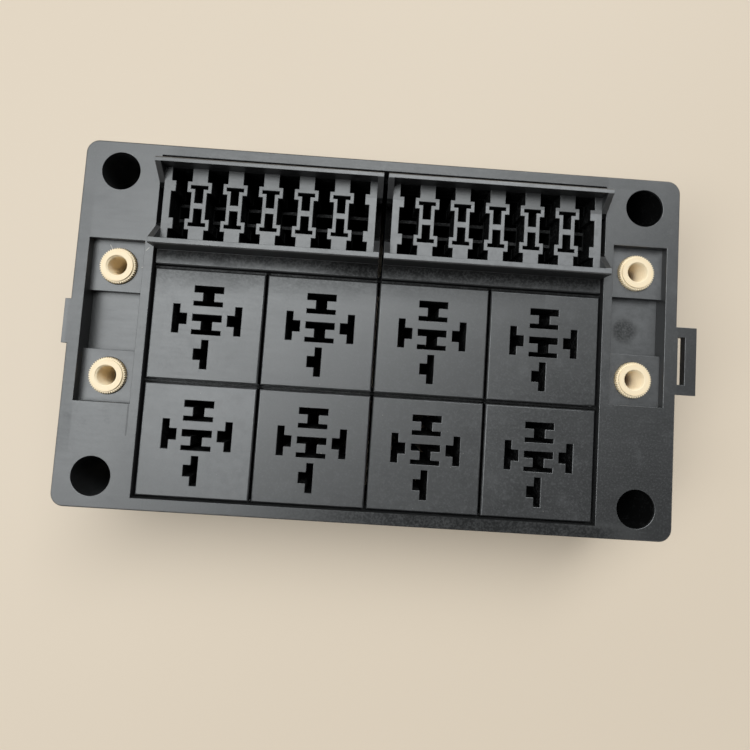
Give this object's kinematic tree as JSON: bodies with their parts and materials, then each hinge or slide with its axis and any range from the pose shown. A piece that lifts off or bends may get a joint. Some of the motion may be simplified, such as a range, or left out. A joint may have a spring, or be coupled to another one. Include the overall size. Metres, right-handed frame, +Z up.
{
  "type": "fuse and relay box",
  "caption": "Moulded fuse and relay box base with snap-in blade-fuse modules, relay sockets and brass inserts for strip fuses.",
  "frame": {"origin": "centre of the four corner holes, on the plane that the skirt stands on", "axes": "+Z up out of the flange, +X along the long side towards the latch loop, +Y towards the fuse modules"},
  "size_m": [0.1719, 0.0992, 0.0437],
  "materials": {
    "frame_plastic": "satin",
    "fuse_plastic": "satin",
    "socket_plastic": "satin",
    "insert_brass": "satin"
  },
  "bodies": {
    "root": {"base_frame": "frame_plastic", "fuse_module_left": "fuse_plastic", "fuse_module_right": "fuse_plastic", "relay_socket_1": "socket_plastic", "relay_socket_2": "socket_plastic", "relay_socket_3": "socket_plastic", "relay_socket_4": "socket_plastic", "relay_socket_5": "socket_plastic", "relay_socket_6": "socket_plastic", "relay_socket_7": "socket_plastic", "relay_socket_8": "socket_plastic", "insert_left_rear": "insert_brass", "insert_left_front": "insert_brass", "insert_right_rear": "insert_brass", "insert_right_front": "insert_brass"}
  },
  "joints": []
}
